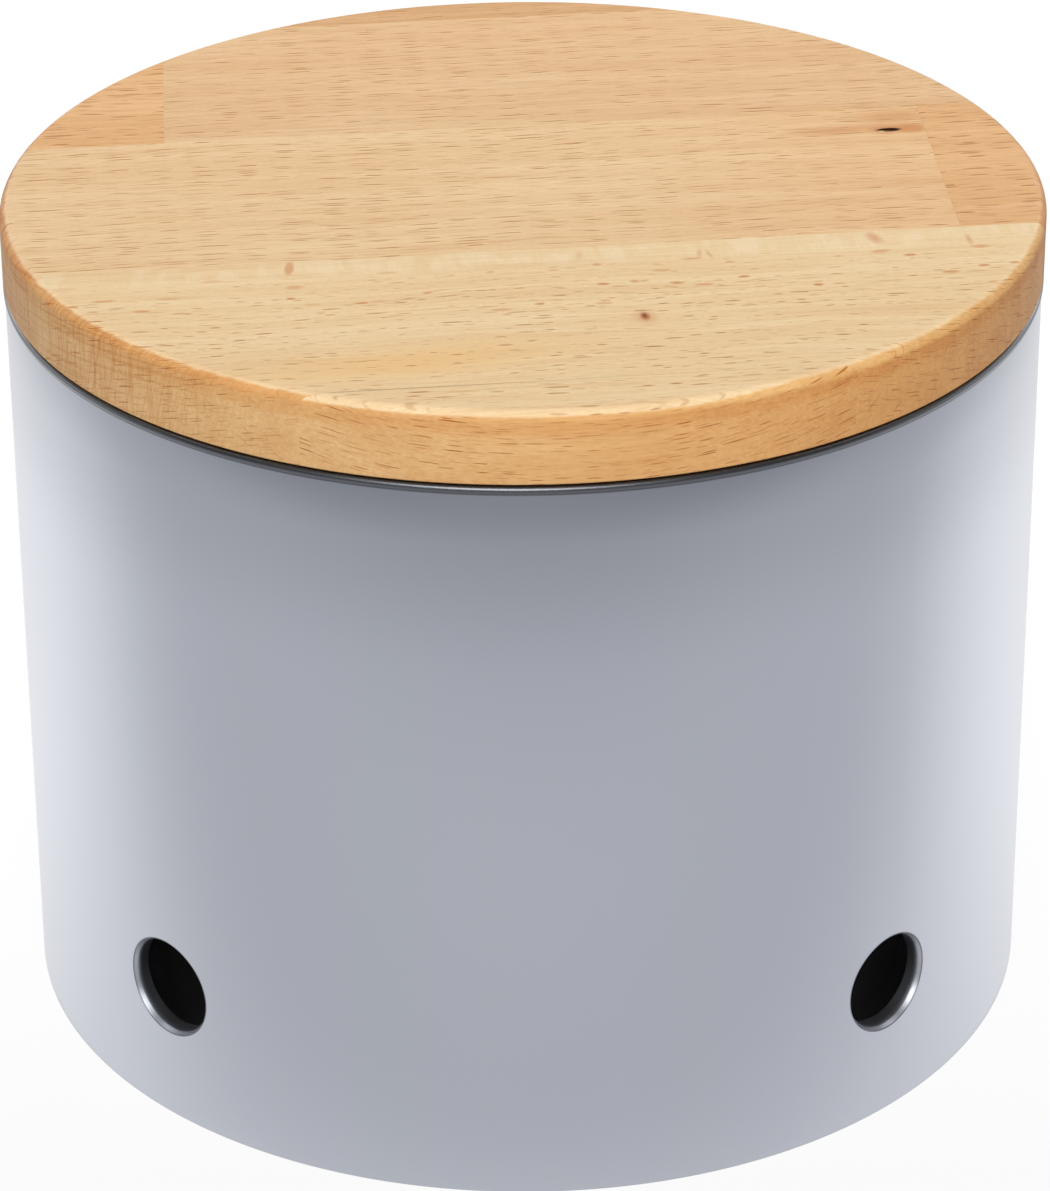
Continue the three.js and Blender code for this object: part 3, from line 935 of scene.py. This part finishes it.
class KEEPER_OT_lid(bpy.types.Operator):
    """Lid: a board turned with its step and groove, sawn along its glue lines into seven staves"""

    bl_idname = "keeper.lid"
    bl_label = "Lid staves"

    def execute(self, context):
        lid, look = context.scene.lid_sizes, context.scene.beech_look
        under, top = lid.underside, lid.underside + lid.thickness
        step_foot = under - lid.step
        groove_top = under - lid.groove_drop
        groove_foot = groove_top - lid.groove_width
        floor = lid.step_radius - lid.groove_depth
        if abs(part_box("lid_stave_middle_long")[0].z - step_foot) > 0.1 * MM:
            raise RuntimeError("the staves don't stand where the packed lid does")
        rings = [(lid.step_radius - lid.chamfer, step_foot)]
        rings += [(lid.step_radius, step_foot + lid.chamfer), (lid.step_radius, groove_foot)]
        rings += [(floor, groove_foot), (floor, groove_top), (lid.step_radius, groove_top)]
        rings += [(lid.step_radius, under)]
        low, high = lid.lower_round, lid.top_round
        rings += bow(lid.radius - low, under + low, low, -90, 0, 4)
        rings += bow(lid.radius - high, top - high, high, 0, 90, 14)
        # a last ring keeps the top flat where the rounded edge ends
        rings += [(lid.radius - high - 0.6 * MM, top)]
        board = spin_up("board", rings, 288, True)
        along = Vector((math.cos(lid.turn), math.sin(lid.turn), 0))
        across = Vector((-math.sin(lid.turn), math.cos(lid.turn), 0))
        butt = (along - across * math.tan(lid.butt_slant)).normalized()
        half = lid.glue_gap / 2
        for name, slot, front, back, left, right in STAVES:
            only(board)
            bpy.ops.object.duplicate()
            stave = context.object
            stave.name = stave.data.name = name
            cuts = []
            for line, side in ((front, -1), (back, 1)):
                if line is not None:
                    cuts.append((across * (line * MM - side * half), side * across))
            # a butt joint is half as wide as a glue line
            for joint, outwards in ((left, -butt), (right, butt)):
                if joint is not None:
                    halfway = across * (front + back) / 2 * MM
                    cuts.append((halfway + along * joint * MM - outwards * half / 2, outwards))
            for point, outwards in cuts:
                bpy.ops.object.mode_set(mode="EDIT")
                bpy.ops.mesh.select_all(action="SELECT")
                bpy.ops.mesh.bisect(
                    plane_co=point, plane_no=outwards, use_fill=True, clear_outer=True
                )
                bpy.ops.object.mode_set(mode="OBJECT")
            bpy.ops.object.mode_set(mode="EDIT")
            bpy.ops.mesh.select_all(action="SELECT")
            bpy.ops.mesh.normals_make_consistent(inside=False)
            beech = oiled_beech(name.replace("stave", "oiled_beech"), look, lid, WOOD[name])
            hand_over(stave, SHARP_WOOD, "lid", "lid_" + name, beech)
        bpy.data.objects.remove(board)
        return {"FINISHED"}


class KEEPER_OT_seal(bpy.types.Operator):
    """Seal ring: a soft band in the groove with two tapering fins"""

    bl_idname = "keeper.seal"
    bl_label = "Seal ring"

    def execute(self, context):
        lid, seal = context.scene.lid_sizes, context.scene.seal_sizes
        high = lid.underside - lid.groove_drop - seal.ease
        low = high - lid.groove_width + 2 * seal.ease
        inside = lid.step_radius - lid.groove_depth + seal.ease
        body = lid.step_radius - seal.sunk
        half = seal.tip / 2
        tip = seal.reach - half

        def fin(foot):
            middle = foot + seal.root / 2
            rounded = bow(tip, middle, half, -60, 60, 4)
            ends = [(tip, middle - half), *rounded, (tip, middle + half)]
            return [(body, foot), *ends, (body, foot + seal.root)]

        rings = [(inside, low), *fin(low), *fin(high - seal.root), (inside, high), (inside, low)]
        ring = spin_up("seal_ring", rings, 192, False)
        rubber = silicone(seal.tone)
        hand_over(ring, SHARP, "lid", "lid_seal_ring", rubber)
        return {"FINISHED"}


# Each lamp: its name, setting, width, place, what it points at and how far it spreads in degrees
LAMPS = [
    ("lamp_front", "front", 0.5, (0, -1.0, 0.8), (0, 0, 0.06), 180),
    ("lamp_sheen", "sheen", 0.8, (-0.1, -1.0, 0.8), (0, 0, 0.06), 180),
    ("lamp_back_left", "back", 0.4, (-0.45, 0.7, 0.25), (0, 0, 0.06), 180),
    ("lamp_back_right", "back", 0.4, (0.45, 0.7, 0.25), (0, 0, 0.06), 180),
    ("lamp_side_left", "side", 0.5, (-0.6, 0.15, 0.8), (-0.4, 0.15, 0), 70),
    ("lamp_side_right", "side", 0.5, (0.6, 0.15, 0.8), (0.4, 0.15, 0), 70),
    ("lamp_far", "far", 0.5, (0, 0.35, 1.0), (0, 0.45, 0), 60),
]

# The floor's painted shade, falling from pale to grey towards the front: the line behind which only
# the way to the side counts, as its Y in metres, the share of that way that counts, the metres at
# which the fall begins and ends, and the share of the pale tone that is left at shares of the fall
FALL_LINE = 0.1
FALL_BESIDE = 0.46
FALL_REACH = (0.05, 0.4)
FALL_STEPS = [
    (0.071, 0.98),
    (0.14, 0.9),
    (0.211, 0.76),
    (0.271, 0.58),
    (0.314, 0.42),
    (0.349, 0.36),
    (0.374, 0.32),
    (0.426, 0.32),
    (0.657, 0.43),
    (0.76, 0.33),
    (0.846, 0.2),
]
# Where the white backdrop ends and is whole, as a direction's share of straight up and of
# straight back
BACKDROP_TOP = (0.42, 0.17)
BACKDROP_SIDE = (-0.25, 0.35)


class KEEPER_OT_stage(bpy.types.Operator):
    """Stage: pale floor, soft lamps, the room all round and the camera"""

    bl_idname = "keeper.stage"
    bl_label = "Stage"

    def execute(self, context):
        look, scene = context.scene.stage_look, context.scene
        only(None)
        bpy.ops.mesh.primitive_plane_add(size=6, location=ORIGIN)
        floor = context.object
        floor.name = "floor"
        floor.data.materials.append(self.board(look))
        scene.world = self.room(look)
        for name, setting, size, spot, aim, spread in LAMPS:
            lamp = bpy.data.lights.new(name, "AREA")
            lamp.energy, lamp.size, lamp.shape = getattr(look, setting), size, "DISK"
            lamp.spread = math.radians(spread)
            rig = bpy.data.objects.new(name, lamp)
            scene.collection.objects.link(rig)
            rig.visible_glossy = setting != "front"
            rig.location = spot
            rig.rotation_euler = (Vector(aim) - Vector(spot)).to_track_quat("-Z", "Y").to_euler()
        scene.camera = self.camera()
        scene.collection.objects.link(scene.camera)
        scene.view_settings.view_transform = "Standard"
        return {"FINISHED"}

    def board(self, look):
        """Matt white board with painted shade: brightest under and behind the pot, falling off
        towards the front.
        """
        material, tree = new_finish("matt_white_board")
        place = node(tree, "TexCoord", out="Object")
        beside, back, _ = node(tree, "SeparateXYZ", [place], out=None).outputs
        before = node(tree, "Math", [FALL_LINE, back], operation="SUBTRACT", use_clamp=True)
        beside = node(tree, "Math", [beside, FALL_BESIDE], operation="MULTIPLY")
        reach = node(tree, "CombineXYZ", [beside, before])
        reach = node(tree, "VectorMath", [reach], out="Value", operation="LENGTH")
        ramp = node(tree, "ValToRGB", [node(tree, "MapRange", [reach, *FALL_REACH])], out=None)
        stops = ramp.color_ramp.elements
        stops[0].color, stops[1].color = look.floor, look.near
        for at, left in FALL_STEPS:
            stops.new(at).color = [
                left * pale + (1 - left) * grey for pale, grey in zip(look.floor, look.near)
            ]
        tone = ramp.outputs[0]
        # seen directly or through something the board is part of a white background, and in the
        # metal it is lit evenly
        path = node(tree, "LightPath", out=None).outputs
        seen = [path["Is Camera Ray"], path["Is Transmission Ray"]]
        direct = node(tree, "Math", seen, operation="ADD", use_clamp=True)
        pale = node(tree, "Mix", {0: direct, 6: tone, 7: (1, 1, 1, 1)}, out=2, data_type="RGBA")
        glow = node(tree, "Emission", [pale, 1])
        mirrored = node(tree, "Math", [path["Is Glossy Ray"], look.glow], operation="MULTIPLY")
        part = node(tree, "Math", [direct, look.white, mirrored], operation="MULTIPLY_ADD")
        matt = node(tree, "BsdfDiffuse", [tone])
        node(tree, "OutputMaterial", [node(tree, "MixShader", [part, matt, glow])], out=None)
        return material

    def room(self, look):
        """Room: a white backdrop behind the pot, to a little above the horizon, dim elsewhere."""
        world = bpy.data.worlds.new("studio_room")
        world.use_nodes = True
        tree = world.node_tree
        tree.nodes.clear()
        ahead = node(tree, "TexCoord", out="Generated")
        _, back, up = node(tree, "SeparateXYZ", [ahead], out=None).outputs
        level = node(tree, "MapRange", [up, *BACKDROP_TOP], **SOFT)
        behind = node(tree, "MapRange", [back, *BACKDROP_SIDE], **SOFT)
        level = node(tree, "Math", [level, behind], operation="MULTIPLY")
        level = node(tree, "MapRange", [level, 0, 1, look.high, 1])
        # it is for the eye and for what the metal shows, and lights nothing else
        path = node(tree, "LightPath", out=None).outputs
        seen = node(tree, "Math", [path["Is Camera Ray"], path["Is Glossy Ray"]], operation="ADD")
        seen = [seen, path["Is Transmission Ray"]]
        seen = node(tree, "Math", seen, operation="ADD", use_clamp=True)
        level = node(tree, "Mix", {0: seen, 2: look.room, 3: level}, data_type="FLOAT")
        light = node(tree, "Background", [(1, 1, 1, 1), level])
        node(tree, "OutputWorld", [light], out=None)
        return world

    def camera(self):
        """Camera at the photograph's angle."""
        lens = bpy.data.cameras.new("camera")
        lens.sensor_width = SENSOR
        lens.lens = FOCAL_PIXELS / FRAME_TALL * SENSOR
        lens.clip_start, lens.clip_end = 0.01, 20
        down, yaw, roll = (math.radians(a) for a in (CAMERA_DOWN, CAMERA_TURN, CAMERA_ROLL))
        level = Vector((math.sin(yaw), math.cos(yaw), 0))
        ahead = level * math.cos(down) - Vector((0, 0, math.sin(down)))
        right = ahead.cross(Vector((0, 0, 1))).normalized()
        up = right.cross(ahead)
        tilted_right = right * math.cos(roll) + up * math.sin(roll)
        tilted_up = up * math.cos(roll) - right * math.sin(roll)
        axes = Matrix((tilted_right, tilted_up, -ahead)).transposed().to_4x4()
        camera = bpy.data.objects.new("camera", lens)
        camera.matrix_world = Matrix.Translation(CAMERA_PLACE) @ axes
        return camera


class KEEPER_PT_panel(bpy.types.Panel):
    """Lists the pieces of the garlic keeper and its stage"""

    bl_idname = "KEEPER_PT_panel"
    bl_label = "Garlic keeper"
    bl_space_type = "VIEW_3D"
    bl_region_type = "UI"
    bl_category = "Garlic keeper"

    def draw(self, context):
        for operator in OPERATORS:
            self.layout.operator(operator.bl_idname)


OPERATORS = [KEEPER_OT_wall, KEEPER_OT_base, KEEPER_OT_lid, KEEPER_OT_seal, KEEPER_OT_stage]
GROUPS = {
    "pot_sizes": PotSizes,
    "vent_sizes": VentSizes,
    "lid_sizes": LidSizes,
    "seal_sizes": SealSizes,
    "steel_look": SteelLook,
    "beech_look": BeechLook,
    "stage_look": StageLook,
}


def register():
    """Registers every class and hangs the settings on the scene."""
    for cls in (*GROUPS.values(), *OPERATORS, KEEPER_PT_panel):
        bpy.utils.register_class(cls)
    for name, group in GROUPS.items():
        setattr(bpy.types.Scene, name, bpy.props.PointerProperty(type=group))


def unregister():
    """Takes back what register() did."""
    for name in GROUPS:
        delattr(bpy.types.Scene, name)
    for cls in reversed((*GROUPS.values(), *OPERATORS, KEEPER_PT_panel)):
        bpy.utils.unregister_class(cls)


def main():
    """Builds the pieces and the stage in order."""
    register()
    for operator in OPERATORS:
        getattr(bpy.ops.keeper, operator.bl_idname.partition(".")[2])()


if __name__ == "__main__":
    main()
